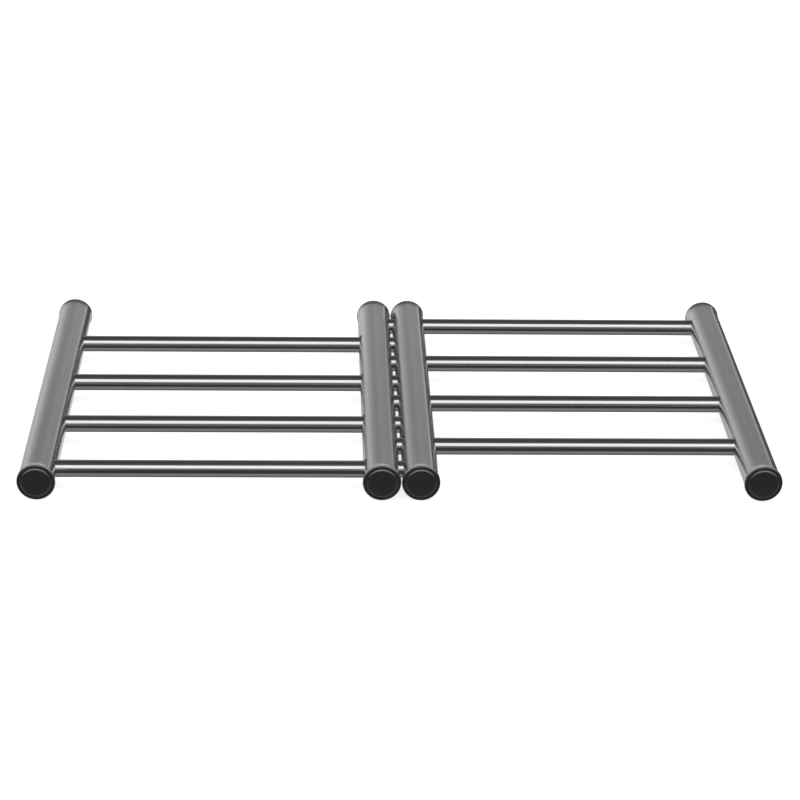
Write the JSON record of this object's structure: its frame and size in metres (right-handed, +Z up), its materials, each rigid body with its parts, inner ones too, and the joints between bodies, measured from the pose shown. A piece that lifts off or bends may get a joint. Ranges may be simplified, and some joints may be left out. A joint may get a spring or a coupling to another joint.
{
  "type": "extendable pot stand",
  "caption": "Sliding trivet of steel tubes and rods with black end caps: two interlaced halves draw apart to make the stand wider.",
  "frame": {"origin": "on the table, under the middle of the drawn-out stand, halfway between the two inner tubes", "axes": "+X along the rods, the way the stand draws out, towards the right half; +Y to the back, along the tubes; +Z up"},
  "size_m": [0.4008, 0.227, 0.0202],
  "materials": {
    "tube_steel": "satin, ground round the tube",
    "rod_steel": "polished",
    "cap_plastic": "black, satin moulding"
  },
  "bodies": {
    "left_half": {"left_outer_tube": "tube_steel", "left_inner_tube": "tube_steel", "left_rod_1": "rod_steel", "left_rod_2": "rod_steel", "left_rod_3": "rod_steel", "left_rod_4": "rod_steel", "left_outer_cap_front": "cap_plastic", "left_outer_cap_back": "cap_plastic", "left_inner_cap_front": "cap_plastic", "left_inner_cap_back": "cap_plastic"},
    "right_half": {"right_outer_tube": "tube_steel", "right_inner_tube": "tube_steel", "right_rod_1": "rod_steel", "right_rod_2": "rod_steel", "right_rod_3": "rod_steel", "right_rod_4": "rod_steel", "right_outer_cap_front": "cap_plastic", "right_outer_cap_back": "cap_plastic", "right_inner_cap_front": "cap_plastic", "right_inner_cap_back": "cap_plastic"}
  },
  "joints": [
    {"name": "draw_slide", "type": "slide", "parent": "left_half", "child": "right_half", "axis": [-1, 0, 0], "range_m": [0, 0.1595]}
  ]
}
